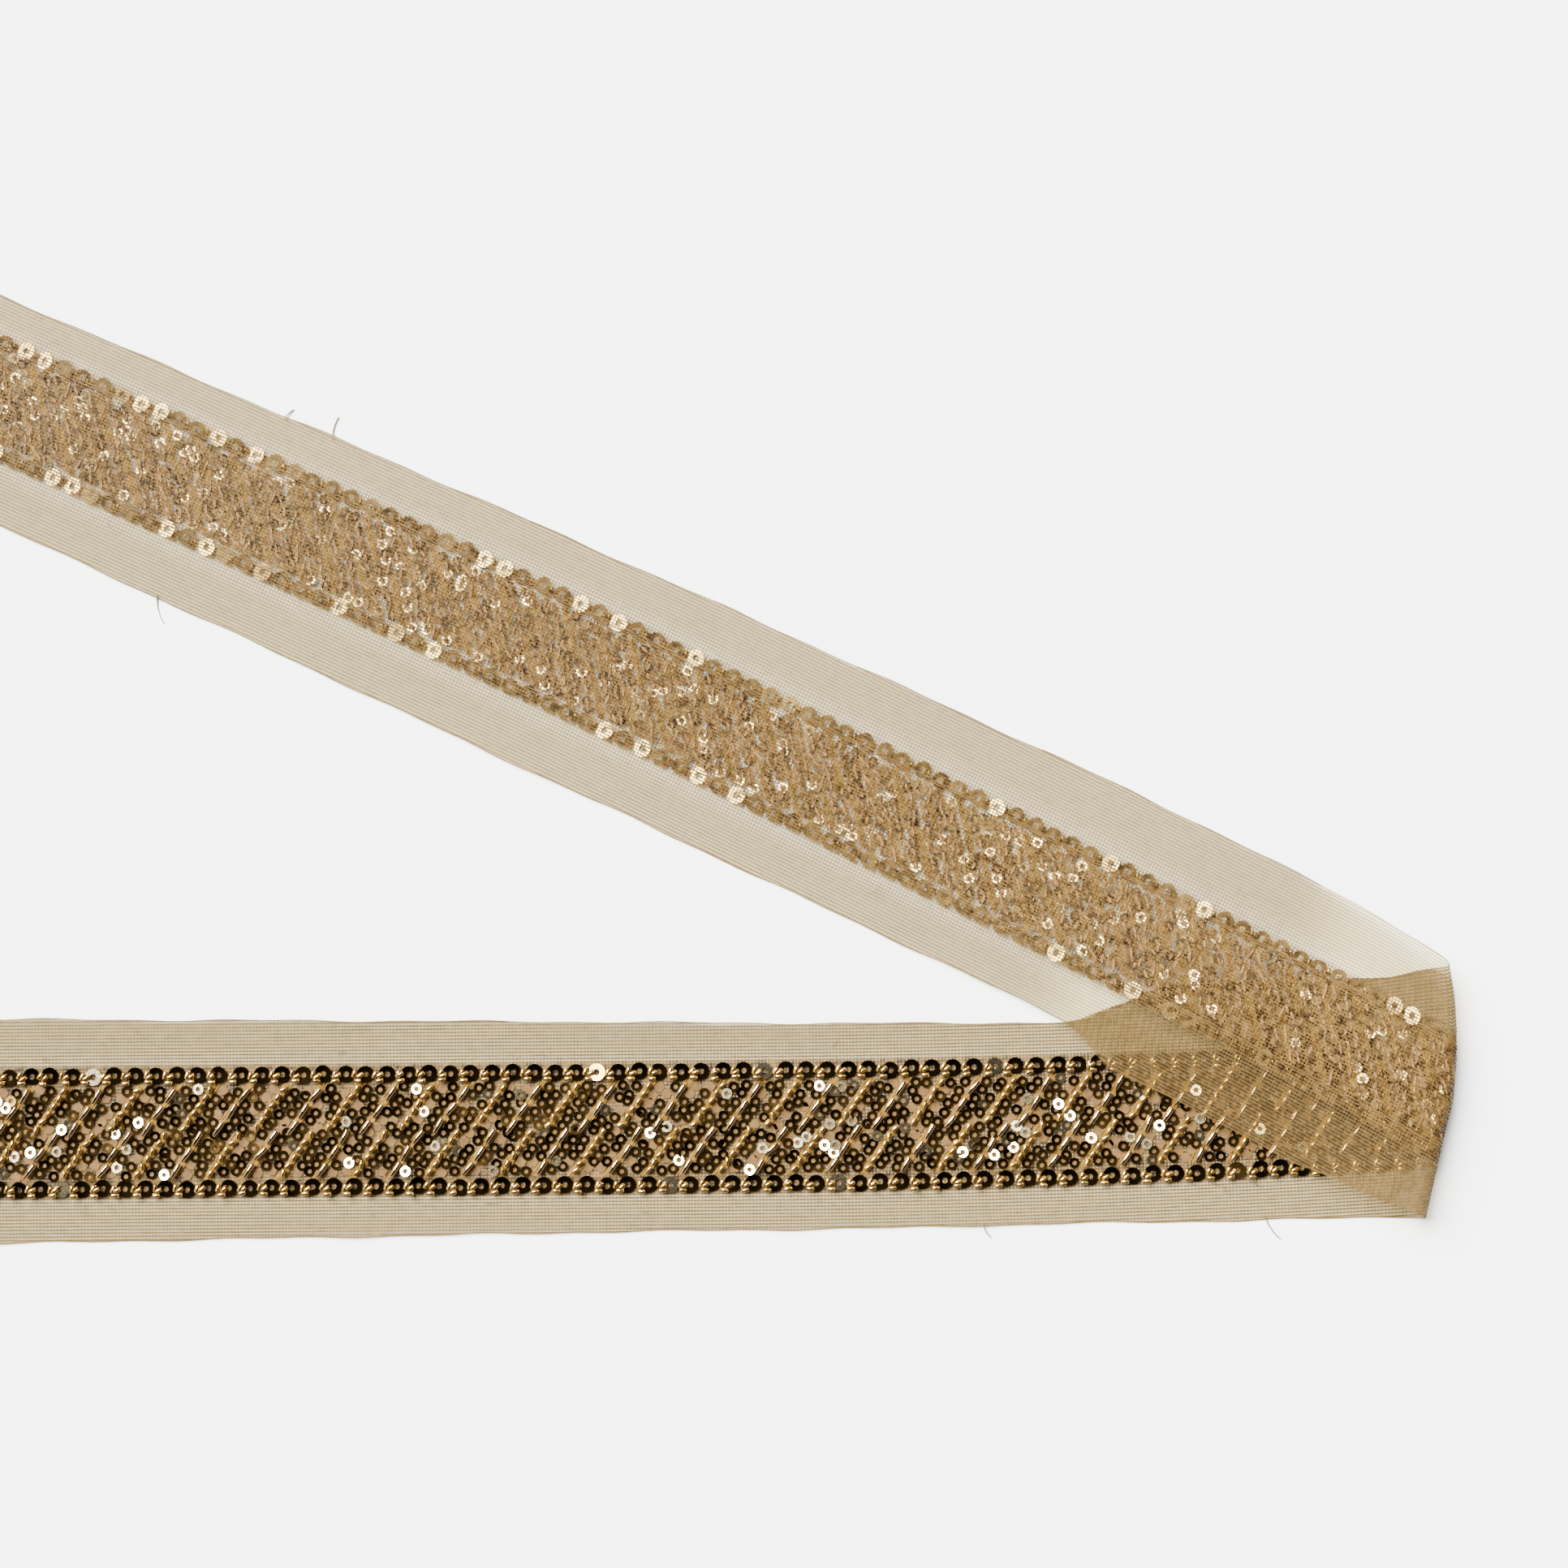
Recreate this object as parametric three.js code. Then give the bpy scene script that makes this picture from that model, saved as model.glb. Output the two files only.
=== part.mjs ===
// Sequin trim: a sheer net ribbon folded back over itself, with a beaded band sewn down its face side.
// Millimetres, +Z up. The lower leg lies face up, the upper leg lies over it with its wrong side up.
// Every point is named by s along the ribbon from the fold, t across it and depth in from the wrong side.
import * as THREE from 'three';

// Ribbon length
const LOWER_END = -441;
const UPPER_END = 488;

// Unevenness of the raw edges
const LONG_RIPPLE = 0.22;
const SHORT_RIPPLE = 0.16;

// Thickness of each layer
const NET_THICK = 1.0;
const SEAT_GAP = 0.3;
const BAND_BACK = NET_THICK + SEAT_GAP;
const FIELD_PLAIN = 1.6;
const FIELD_BASE = 1.3;
const BUGLE_LINE = 2.0;
const SEED_LINE = 1.8;
const BORDER_THICK = 1.4;

// The fold: a round loop, then both legs run away from it
const FOLD_ANGLE = THREE.MathUtils.degToRad(77.37);
const LOOP_RADIUS = 5.0;
const HALF_TURN = LOOP_RADIUS * Math.PI / 2;
const FOLD_NORMAL = { x: Math.sin(FOLD_ANGLE), y: -Math.cos(FOLD_ANGLE) };
const FOLD_LINE = { x: Math.cos(FOLD_ANGLE), y: Math.sin(FOLD_ANGLE) };
const PULL_SPREAD = 24;
const FLAT_PAST = 10;
const STRAIGHT_PAST = 60;
const LOOP_PAST = 8.2;
const EASE_REACH = 10;
const RIM_EASE_REACH = 20;
const UPPER_DROOP = 1.4;
const LOWER_DROOP = 2;

// Width of the beaded band
const FIELD_HALF = 13.6;
const BORDER_IN = 13.9;
const BORDER_NECK = 17.4;
const BORDER_OUT = 19.0;
const FIELD_EDGE = 13.75;
const BAND_EDGE = 19.25;

// Pattern of the band
const SEQUIN_PITCH = 6.15;
const SEQUIN_FLAT = 1.6;
const REPEAT = 21.4;
const LINE_LEAN = 0.7265;
const LINE_STEP = 4.0;
const STEP_HALF = 0.8;
const BUGLE_HALF = 0.8;
const SEED_HALF = 0.9;
const RIDGE_SLOPE = 0.6;

// Spacing of the columns, far from the fold, near it and through it
const FAR_STEP = 14;
const NEAR_STEP = 8;
const CLOSE_STEP = 5;
const LAP_STEP = 7;
const LOWER_LAP = -112;
const UPPER_LAP = 165;
const FOLD_LEAN = 0.2924;
const FOLD_REACH = 13.1;
const FOLD_STEP = 1.31;
const LEAN_REACH = 60;
const FIELD_LEAN_REACH = 34;
const END_REACH = 24;
const END_ROOM = 1;

// Direction in which the ribbon runs when opened out flat, in degrees
const FOLD_HEADING = 3.68;
const HEADING = [
  { s: -460, degrees: 0.46 },
  { s: -200, degrees: 0.55 },
  { s: -90, degrees: 2.22 },
  { s: 0, degrees: FOLD_HEADING },
  { s: 60, degrees: 1.73 },
  { s: 140, degrees: 1.08 },
  { s: 250, degrees: 0.84 },
  { s: 350, degrees: -0.87 },
  { s: 520, degrees: -1.25 },
];

// Distance of the two raw edges from the centre line, and how wide the band lies
const WIDTH = [
  { s: -460, north: 33.9, south: 32.8, band: 1.0 },
  { s: -370, north: 32.8, south: 31.7, band: 1.0 },
  { s: -257, north: 31.3, south: 30.5, band: 1.0 },
  { s: -143, north: 29.5, south: 30.1, band: 1.0 },
  { s: -112, north: 28.6, south: 30.3, band: 1.0 },
  { s: -98, north: 33.5, south: 30.6, band: 1.0 },
  { s: -84, north: 38.6, south: 30.9, band: 1.0 },
  { s: -50, north: 38.6, south: 31.8, band: 1.0 },
  { s: -13, north: 37.0, south: 32.9, band: 0.99 },
  { s: 10, north: 36.8, south: 36.2, band: 0.97 },
  { s: 35, north: 36.8, south: 38.4, band: 0.95 },
  { s: 60, north: 37.3, south: 38.2, band: 0.93 },
  { s: 97, north: 37.4, south: 38.6, band: 0.92 },
  { s: 112, north: 37.2, south: 32.0, band: 0.92 },
  { s: 145, north: 36.6, south: 32.6, band: 0.92 },
  { s: 209, north: 34.5, south: 34.1, band: 0.92 },
  { s: 302, north: 31.4, south: 35.8, band: 0.92 },
  { s: 425, north: 28.5, south: 34.8, band: 0.92 },
  { s: 500, north: 27.2, south: 34.4, band: 0.92 },
];

// How far the fold edge is drawn in, for a place t across the ribbon
const PULL = [
  { t: 0.8, inward: 0.0 },
  { t: 13.75, inward: 2.0 },
  { t: 19.25, inward: 3.2 },
  { t: 28, inward: 5.8 },
  { t: 38, inward: 10.0 },
];

// Height of the wrong side past the fold: mid band, south edge of the band, and the two raw edges
const UPPER = [
  { past: LOOP_PAST, mid: 10.0, south: 10.0, rimNorth: 10.0, rimSouth: 10.0 },
  { past: 20, mid: 9.3, south: 9.5, rimNorth: 8.6, rimSouth: 8.8 },
  { past: 35, mid: 8.0, south: 8.4, rimNorth: 6.0, rimSouth: 6.6 },
  { past: 50, mid: 7.1, south: 7.7, rimNorth: 4.2, rimSouth: 5.5 },
  { past: 70, mid: 6.3, south: 7.2, rimNorth: 2.8, rimSouth: 5.1 },
  { past: 90, mid: 5.6, south: 6.6, rimNorth: 2.2, rimSouth: 5.0 },
  { past: 110, mid: 4.9, south: 5.6, rimNorth: 1.9, rimSouth: 4.1 },
  { past: 130, mid: 4.1, south: 4.5, rimNorth: 1.8, rimSouth: 2.8 },
  { past: 165, mid: 3.3, south: 3.3, rimNorth: 1.8, rimSouth: 2.0 },
  { past: 230, mid: 3.3, south: 3.3, rimNorth: 2.2, rimSouth: 1.6 },
  { past: 300, mid: 3.3, south: 3.3, rimNorth: 1.7, rimSouth: 2.1 },
  { past: 390, mid: 3.3, south: 3.3, rimNorth: 2.0, rimSouth: 1.7 },
  { past: 500, mid: 3.3, south: 3.3, rimNorth: 1.8, rimSouth: 2.0 },
];

// How far the raw edges of the lower leg lift off the table
const LOWER_RIM = [
  { s: -450, north: 0.0, south: 0.2 },
  { s: -380, north: 0.5, south: 0.0 },
  { s: -300, north: 0.0, south: 0.5 },
  { s: -220, north: 0.6, south: 0.0 },
  { s: -150, north: 0.1, south: 0.4 },
  { s: -90, north: 0.0, south: 0.0 },
  { s: -20, north: 0.0, south: 0.0 },
];

// Value of a table column at a place, straight between rows
function at(table, key, column, place) {
  const last = table.length - 1;
  if (place <= table[0][key]) return table[0][column];
  for (let i = 0; i < last; i++) {
    const a = table[i];
    const b = table[i + 1];
    if (place <= b[key]) {
      return a[column] + (b[column] - a[column]) * (place - a[key]) / (b[key] - a[key]);
    }
  }
  return table[last][column];
}

// The same with the corners rounded off, as a mean over a short reach either side
function eased(table, key, column, place, reach) {
  let sum = 0;
  for (const part of [-1, -0.5, 0, 0.5, 1]) {
    sum += at(table, key, column, place + part * reach);
  }
  return sum / 5;
}

function ramp(from, to, value) {
  const u = Math.min(1, Math.max(0, (value - from) / (to - from)));
  return u * u * (3 - 2 * u);
}

// Centre line of the opened-out ribbon, stepped every millimetre both ways from the fold
function centreLine() {
  const points = new Map([[0, { x: 0, y: 0 }]]);
  for (const way of [-1, 1]) {
    let x = 0;
    let y = 0;
    for (let i = 1; i <= 520; i++) {
      const angle = THREE.MathUtils.degToRad(at(HEADING, 's', 'degrees', way * (i - 0.5)));
      x += way * Math.cos(angle);
      y += way * Math.sin(angle);
      points.set(way * i, { x, y });
    }
  }
  return points;
}

const CENTRE = centreLine();

// A point of the opened-out ribbon
function opened(s, t) {
  const low = Math.floor(s);
  const a = CENTRE.get(low);
  const b = CENTRE.get(low + 1);
  const angle = THREE.MathUtils.degToRad(at(HEADING, 's', 'degrees', s));
  return {
    x: a.x + (b.x - a.x) * (s - low) - t * Math.sin(angle),
    y: a.y + (b.y - a.y) * (s - low) + t * Math.cos(angle),
  };
}

// Share of the way from the band edge (0) to the raw edge (1)
function marginShare(s, t) {
  const edge = BAND_EDGE * at(WIDTH, 's', 'band', s);
  const rim = at(WIDTH, 's', t > 0 ? 'north' : 'south', s);
  return Math.max(0, (Math.abs(t) - edge) / (rim - edge));
}

// Height of the wrong side of the upper leg: level or rolled over the band, drooping in the margins
function upperHeight(s, t, across) {
  const along = across / Math.sin(FOLD_ANGLE - THREE.MathUtils.degToRad(FOLD_HEADING));
  const past = along + (s - along) * ramp(FLAT_PAST, STRAIGHT_PAST, across);
  const reach = Math.min(EASE_REACH, Math.max(0, (past - LOOP_PAST) / 2));
  const mid = eased(UPPER, 'past', 'mid', past, reach);
  const south = eased(UPPER, 'past', 'south', past, reach);
  const edge = BAND_EDGE * at(WIDTH, 's', 'band', s);
  const inBand = Math.min(1, Math.abs(t) / edge);
  const band = mid + (south - mid) * inBand * (t > 0 ? -1 : 1);
  const rim = eased(UPPER, 'past', t > 0 ? 'rimNorth' : 'rimSouth', past, reach);
  return band + (rim - band) * marginShare(s, t) ** UPPER_DROOP;
}

function lowerHeight(s, t) {
  const rim = eased(LOWER_RIM, 's', t > 0 ? 'north' : 'south', s, RIM_EASE_REACH);
  return rim * marginShare(s, t) ** LOWER_DROOP;
}

// Where a point of the ribbon lies once it is folded
function lay(s, t, depth) {
  const flat = opened(s, t);
  const across = flat.x * FOLD_NORMAL.x + flat.y * FOLD_NORMAL.y;
  const along = flat.x * FOLD_LINE.x + flat.y * FOLD_LINE.y;
  let reach = across;
  let height = lowerHeight(s, t) + depth;
  if (across > HALF_TURN) {
    reach = -across;
    height = upperHeight(s, t, across) - depth;
  } else if (across > -HALF_TURN) {
    const turn = (across + HALF_TURN) / LOOP_RADIUS;
    reach = -HALF_TURN + (LOOP_RADIUS - depth) * Math.sin(turn);
    height = LOOP_RADIUS - (LOOP_RADIUS - depth) * Math.cos(turn);
  }
  reach -= at(PULL, 't', 'inward', t) * Math.exp(-((across / PULL_SPREAD) ** 2));
  return [
    reach * FOLD_NORMAL.x + along * FOLD_LINE.x,
    reach * FOLD_NORMAL.y + along * FOLD_LINE.y,
    height,
  ];
}

// Triangles between two neighbouring rows, stepping along whichever row is behind
function zip(rowA, rowB, emit) {
  let i = 0;
  let j = 0;
  while (i < rowA.length - 1 || j < rowB.length - 1) {
    const nextA = i < rowA.length - 1 ? rowA[i + 1].place : Infinity;
    const nextB = j < rowB.length - 1 ? rowB[j + 1].place : Infinity;
    if (nextA <= nextB) {
      emit(rowA[i].index, rowA[i + 1].index, rowB[j].index);
      i += 1;
    } else {
      emit(rowA[i].index, rowB[j + 1].index, rowB[j].index);
      j += 1;
    }
  }
}

// A closed sheet from rows of points that run along the ribbon, from the south row to the north row
function sheet(rows) {
  const vertices = [];
  const faces = [];
  for (const row of rows) {
    for (const point of row) {
      point.index = vertices.length / 3;
      vertices.push(...lay(point.s, point.t, point.back));
      vertices.push(...lay(point.s, point.t, point.front));
    }
  }
  const quad = (a, b, c, d) => faces.push(a, b, c, a, c, d);
  for (let r = 0; r < rows.length - 1; r++) {
    zip(rows[r], rows[r + 1], (a, b, c) => faces.push(a + 1, b + 1, c + 1, a, c, b));
  }
  const first = rows[0];
  const last = rows[rows.length - 1];
  for (let i = 0; i < first.length - 1; i++) {
    quad(first[i].index, first[i + 1].index, first[i + 1].index + 1, first[i].index + 1);
  }
  for (let i = 0; i < last.length - 1; i++) {
    quad(last[i + 1].index, last[i].index, last[i].index + 1, last[i + 1].index + 1);
  }
  for (let r = 0; r < rows.length - 1; r++) {
    const a = rows[r][0].index;
    const b = rows[r + 1][0].index;
    const c = rows[r][rows[r].length - 1].index;
    const d = rows[r + 1][rows[r + 1].length - 1].index;
    quad(a, a + 1, b + 1, b);
    quad(d, d + 1, c + 1, c);
  }
  const geometry = new THREE.BufferGeometry();
  geometry.setAttribute('position', new THREE.Float32BufferAttribute(vertices, 3));
  geometry.setIndex(faces);
  geometry.computeVertexNormals();
  return geometry;
}

// Columns stand square to the ribbon, and lean with the fold line as they near it
function netLean(place) {
  return FOLD_LEAN * (1 - ramp(FOLD_REACH, LEAN_REACH, Math.abs(place)));
}

// Share of the slanting pattern: none at the cut ends and in the fold
function slantShare(place) {
  const fromEnd = Math.min(place - LOWER_END, UPPER_END - place);
  return ramp(FOLD_REACH, FIELD_LEAN_REACH, Math.abs(place)) * ramp(0, END_REACH, fromEnd);
}

function foldColumns() {
  const places = [];
  for (let place = -FOLD_REACH; place < FOLD_REACH + FOLD_STEP / 2; place += FOLD_STEP) {
    places.push(place);
  }
  return places;
}

// Columns from one place up to another, evenly spread, the last one left off
function spread(from, to, step) {
  const count = Math.round((to - from) / step);
  return Array.from({ length: count }, (_, i) => from + (to - from) * i / count);
}

const FOLD_COLUMNS = foldColumns();

// Net ribbon: rows at the raw edges, half way over each margin, and along the band
function netRow(across, fine) {
  const places = [
    ...spread(LOWER_END, LOWER_LAP, FAR_STEP / fine),
    ...spread(LOWER_LAP, -FOLD_REACH, NEAR_STEP),
    ...FOLD_COLUMNS,
    ...spread(FOLD_REACH, LEAN_REACH, CLOSE_STEP).slice(1),
    ...spread(LEAN_REACH, UPPER_LAP, LAP_STEP),
    ...spread(UPPER_LAP, UPPER_END, FAR_STEP / fine),
    UPPER_END,
  ];
  return places.map((place) => {
    let s = place;
    let t = across(s);
    s = place + netLean(place) * t;
    t = across(s);
    return { place, s, t, back: 0, front: NET_THICK };
  });
}

function rim(s, side) {
  const ripple = LONG_RIPPLE * Math.sin(s / 9.7) + SHORT_RIPPLE * Math.sin(s / 4.1 + 2);
  return (side === 'north' ? 1 : -1) * at(WIDTH, 's', side, s) + ripple;
}

function bandAt(s, t) {
  return t * at(WIDTH, 's', 'band', s);
}

function halfWay(s, side) {
  return (rim(s, side) + bandAt(s, side === 'north' ? BAND_EDGE : -BAND_EDGE)) / 2;
}

function netRibbon() {
  return sheet([
    netRow((s) => rim(s, 'south'), 2),
    netRow((s) => halfWay(s, 'south'), 1),
    netRow((s) => bandAt(s, -BAND_EDGE), 1),
    netRow((s) => bandAt(s, STEP_HALF), 1),
    netRow((s) => bandAt(s, FIELD_EDGE), 1),
    netRow((s) => bandAt(s, BAND_EDGE), 1),
    netRow((s) => halfWay(s, 'north'), 1),
    netRow((s) => rim(s, 'north'), 2),
  ]);
}

// Bead and sequin field: slanting bugle and seed lines stand up from it, with a step at mid width
function fieldColumns() {
  const columns = [{ place: LOWER_END, thick: FIELD_BASE }];
  const bugle = BUGLE_HALF;
  const seed = SEED_HALF;
  const profile = [
    { from: -bugle - RIDGE_SLOPE, thick: FIELD_BASE },
    { from: -bugle, thick: BUGLE_LINE },
    { from: bugle, thick: BUGLE_LINE },
    { from: bugle + RIDGE_SLOPE, thick: FIELD_BASE },
    { from: REPEAT / 2 - seed - RIDGE_SLOPE, thick: FIELD_BASE },
    { from: REPEAT / 2 - seed, thick: SEED_LINE },
    { from: REPEAT / 2 + seed, thick: SEED_LINE },
    { from: REPEAT / 2 + seed + RIDGE_SLOPE, thick: FIELD_BASE },
  ];
  const room = (place) => place > LOWER_END + END_ROOM && place < UPPER_END - END_ROOM;
  const clear = (place) => Math.abs(place) > FOLD_REACH + FOLD_STEP;
  for (let k = Math.floor(LOWER_END / REPEAT); k * REPEAT < UPPER_END; k++) {
    for (const part of profile) {
      const place = k * REPEAT + part.from;
      if (room(place) && clear(place)) columns.push({ place, thick: part.thick });
    }
  }
  for (const place of FOLD_COLUMNS) columns.push({ place, thick: FIELD_PLAIN });
  columns.push({ place: UPPER_END, thick: FIELD_BASE });
  return columns.sort((a, b) => a.place - b.place);
}

function fieldRow(across, columns) {
  return columns.map(({ place, thick }) => {
    const slant = slantShare(place);
    const lean = netLean(place) * (1 - slant) + LINE_LEAN * slant;
    const step = across < 0 ? LINE_STEP * slant : 0;
    const s = place + lean * across - step;
    return { place, s, t: bandAt(s, across), back: BAND_BACK, front: BAND_BACK + thick };
  });
}

function sequinField() {
  const columns = fieldColumns();
  return sheet([-FIELD_HALF, -STEP_HALF, STEP_HALF, FIELD_HALF].map((t) => fieldRow(t, columns)));
}

// Border row: one large sequin after another, so its outer edge is scalloped
function borderPoint(place, across) {
  const s = place + netLean(place) * across;
  return { place, s, t: bandAt(s, across), back: BAND_BACK, front: BAND_BACK + BORDER_THICK };
}

function borderRow(side) {
  const inner = [borderPoint(LOWER_END, side * BORDER_IN)];
  const outer = [borderPoint(LOWER_END, side * BORDER_NECK)];
  for (let k = Math.ceil(LOWER_END / SEQUIN_PITCH); k * SEQUIN_PITCH < UPPER_END; k++) {
    const centre = k * SEQUIN_PITCH;
    const room = Math.min(centre - LOWER_END, UPPER_END - centre) > SEQUIN_PITCH / 2 + END_ROOM;
    if (!room || Math.abs(centre) < FOLD_REACH + SEQUIN_PITCH / 2) continue;
    inner.push(borderPoint(centre, side * BORDER_IN));
    outer.push(borderPoint(centre - SEQUIN_PITCH / 2, side * BORDER_NECK));
    outer.push(borderPoint(centre - SEQUIN_FLAT, side * BORDER_OUT));
    outer.push(borderPoint(centre + SEQUIN_FLAT, side * BORDER_OUT));
  }
  for (const place of FOLD_COLUMNS) {
    inner.push(borderPoint(place, side * BORDER_IN));
    outer.push(borderPoint(place, side * BORDER_OUT));
  }
  inner.push(borderPoint(UPPER_END, side * BORDER_IN));
  outer.push(borderPoint(UPPER_END, side * BORDER_NECK));
  inner.sort((a, b) => a.place - b.place);
  outer.sort((a, b) => a.place - b.place);
  return sheet(side > 0 ? [inner, outer] : [outer, inner]);
}

const PIECES = [
  { name: 'net_ribbon', geometry: netRibbon(), colour: '#c8bda6', roughness: 0.8, metalness: 0.0 },
  { name: 'sequin_field', geometry: sequinField(), colour: '#7c6341', roughness: 0.35, metalness: 0.7 },
  { name: 'border_row_north', geometry: borderRow(1), colour: '#6b5230', roughness: 0.25, metalness: 0.8 },
  { name: 'border_row_south', geometry: borderRow(-1), colour: '#6b5230', roughness: 0.25, metalness: 0.8 },
];

// The origin is under the middle of the whole trim, on the table
function outerBox() {
  const box = new THREE.Box3();
  for (const piece of PIECES) {
    piece.geometry.computeBoundingBox();
    box.union(piece.geometry.boundingBox);
  }
  return box;
}

const trim = new THREE.Group();
const middle = outerBox().getCenter(new THREE.Vector3());
trim.name = 'sequin_trim';
for (const piece of PIECES) {
  piece.geometry.translate(-middle.x, -middle.y, 0);
  const material = new THREE.MeshStandardMaterial({
    color: piece.colour,
    roughness: piece.roughness,
    metalness: piece.metalness,
  });
  const mesh = new THREE.Mesh(piece.geometry, material);
  mesh.name = piece.name;
  trim.add(mesh);
}

export default trim;
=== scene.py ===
import bpy
import numpy as np
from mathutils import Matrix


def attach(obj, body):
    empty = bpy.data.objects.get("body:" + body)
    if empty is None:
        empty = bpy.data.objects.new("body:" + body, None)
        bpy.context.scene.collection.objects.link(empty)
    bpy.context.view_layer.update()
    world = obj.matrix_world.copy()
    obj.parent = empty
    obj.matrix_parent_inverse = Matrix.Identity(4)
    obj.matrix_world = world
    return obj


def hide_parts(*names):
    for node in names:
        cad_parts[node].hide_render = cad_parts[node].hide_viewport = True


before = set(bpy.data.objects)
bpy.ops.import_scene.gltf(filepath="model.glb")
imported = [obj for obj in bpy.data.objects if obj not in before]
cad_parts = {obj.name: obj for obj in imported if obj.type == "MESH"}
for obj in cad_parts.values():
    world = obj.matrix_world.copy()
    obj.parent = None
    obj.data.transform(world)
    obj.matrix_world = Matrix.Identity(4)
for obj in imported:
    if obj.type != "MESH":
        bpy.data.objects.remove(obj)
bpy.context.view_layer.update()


# The camera looks straight down from 750 mm on a 460 mm square of the table, as the photograph does
VIEW_CENTRE = (0.029884, -0.004423)
VIEW_HEIGHT = 0.75
VIEW_WIDTH = 0.46

camera_data = bpy.data.cameras.new("camera")
camera_data.sensor_fit = "HORIZONTAL"
camera_data.sensor_width = 36.0
camera_data.lens = 36.0 * VIEW_HEIGHT / VIEW_WIDTH
camera_data.dof.use_dof = False
camera_data.clip_start = 0.05
camera = bpy.data.objects.new("camera", camera_data)
camera.location = (*VIEW_CENTRE, VIEW_HEIGHT)
bpy.context.scene.collection.objects.link(camera)
bpy.context.scene.camera = camera


# The lay of the ribbon: a flat strip with a slightly curved centre line, turned over a round loop at the
# fold. Its upper leg sinks from the loop on to the lower leg, and past it on to the table.
FOLD_PLACE = (227.484, -97.523)
FOLD_ANGLE = np.radians(77.37)
FOLD_HEADING = 3.68
LOOP_RADIUS = 5.0
HALF_TURN = LOOP_RADIUS * np.pi / 2
LOOP_PAST = 8.2
SETTLE, SETTLED_BY = 1.1, 60
RIM_EASE, PULL_REACH = 20, 24
TABLE_CLEARANCE = 0.01
BAND_EDGE = 19.25
LOWER_END, UPPER_END = -441.0, 488.0

HEADING = dict(
    s=[-460, -200, -90, 0, 60, 140, 250, 350, 520],
    degrees=[0.46, 0.55, 2.22, FOLD_HEADING, 1.73, 1.08, 0.84, -0.87, -1.25],
)
WIDTH = dict(
    s=[-460, -370, -257, -143, -112, -98, -84, -50, -13, 10, 35, 60, 97, 112, 145, 209, 302, 425, 500],
    north=[33.9, 32.8, 31.3, 29.5, 28.6, 33.5, 38.6, 38.6, 37.0, 36.8, 36.8, 37.3, 37.4, 37.2, 36.6, 34.5,
           31.4, 28.5, 27.2],
    south=[32.8, 31.7, 30.5, 30.1, 30.3, 30.6, 30.9, 31.8, 32.9, 36.2, 38.4, 38.2, 38.6, 32.0, 32.6, 34.1,
           35.8, 34.8, 34.4],
    band=[1, 1, 1, 1, 1, 1, 1, 1, 0.99, 0.97, 0.95, 0.93, 0.92, 0.92, 0.92, 0.92, 0.92, 0.92, 0.92],
)
PULL = dict(t=[0.8, 13.75, 19.25, 28, 38], inward=[0, 2.0, 3.2, 5.8, 10.0])
UPPER = dict(
    past=[LOOP_PAST, 20, 35, 50, 70, 90, 110, 130, 165, 230, 300, 390, 500],
    mid=[10.0, 9.3, 8.0, 7.1, 6.3, 5.6, 4.9, 4.1, 3.3, 3.3, 3.3, 3.3, 3.3],
    south=[10.0, 9.5, 8.4, 7.7, 7.2, 6.6, 5.6, 4.5, 3.3, 3.3, 3.3, 3.3, 3.3],
    rim_north=[10.0, 8.6, 6.0, 4.2, 2.8, 2.2, 1.9, 1.8, 1.8, 2.2, 1.7, 2.0, 1.8],
    rim_south=[10.0, 8.8, 6.6, 5.5, 5.1, 5.0, 4.1, 2.8, 2.0, 1.6, 2.1, 1.7, 2.0],
)
LOWER_RIM = dict(
    s=[-450, -380, -300, -220, -150, -90, -20],
    north=[0.0, 0.5, 0.0, 0.6, 0.1, 0.0, 0.0],
    south=[0.2, 0.0, 0.5, 0.0, 0.4, 0.0, 0.0],
)


def column(table, key, name, place):
    """The named column at each place, straight between the table's rows."""
    return np.interp(place, table[key], table[name])


def eased(table, key, name, place, reach):
    """The same with rounded corners: the mean of five places spread over reach to either side."""
    return sum(column(table, key, name, place + part * reach) for part in (-1, -0.5, 0, 0.5, 1)) / 5


def ramp(low, high, value):
    """0 below low, 1 above high, and an S curve between them."""
    u = np.clip((value - low) / (high - low), 0, 1)
    return u * u * (3 - 2 * u)


centre_s = np.arange(-520, 521)
turn = np.radians(column(HEADING, "s", "degrees", centre_s[:-1] + 0.5))
centre_x = np.concatenate([[0], np.cumsum(np.cos(turn))])
centre_y = np.concatenate([[0], np.cumsum(np.sin(turn))])
centre_x -= centre_x[520]
centre_y -= centre_y[520]


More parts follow.
